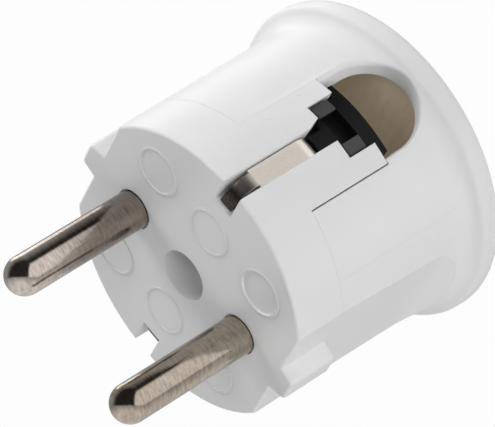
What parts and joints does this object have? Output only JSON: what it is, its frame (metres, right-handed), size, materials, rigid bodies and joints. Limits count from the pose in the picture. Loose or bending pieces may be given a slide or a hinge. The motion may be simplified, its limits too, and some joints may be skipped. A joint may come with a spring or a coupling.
{
  "type": "type f plug",
  "caption": "Rewireable white type F mains plug: round body with side flats and guide ribs, round pins, side earth strips in slots, arched side windows and a grip flange.",
  "frame": {"origin": "middle of the rear face, which the plug stands on", "axes": "+Z along the plug's axis towards the pin tips, X through both pins, Y through both earth slots"},
  "size_m": [0.0401, 0.04, 0.05],
  "materials": {
    "white_plastic": "semi-gloss moulded white",
    "black_plastic": "satin moulded black",
    "nickel": "nickel plate with fine turning marks",
    "nickel_strip": "nickel-plated rolled strip",
    "brass": "machined brass",
    "screw_steel": "zinc-plated steel"
  },
  "bodies": {
    "root": {"front_insert": "white_plastic", "rear_shell": "white_plastic", "contact_carrier": "black_plastic", "line_pin": "nickel", "neutral_pin": "nickel", "line_terminal": "brass", "neutral_terminal": "brass", "line_terminal_screw": "screw_steel", "neutral_terminal_screw": "screw_steel", "earth_contact": "nickel_strip", "earth_clamp_washer": "screw_steel", "earth_terminal_screw": "screw_steel", "centre_screw": "screw_steel", "threaded_insert": "brass", "cord_clamp_bar": "black_plastic", "cord_clamp_screws": "screw_steel"}
  },
  "joints": []
}
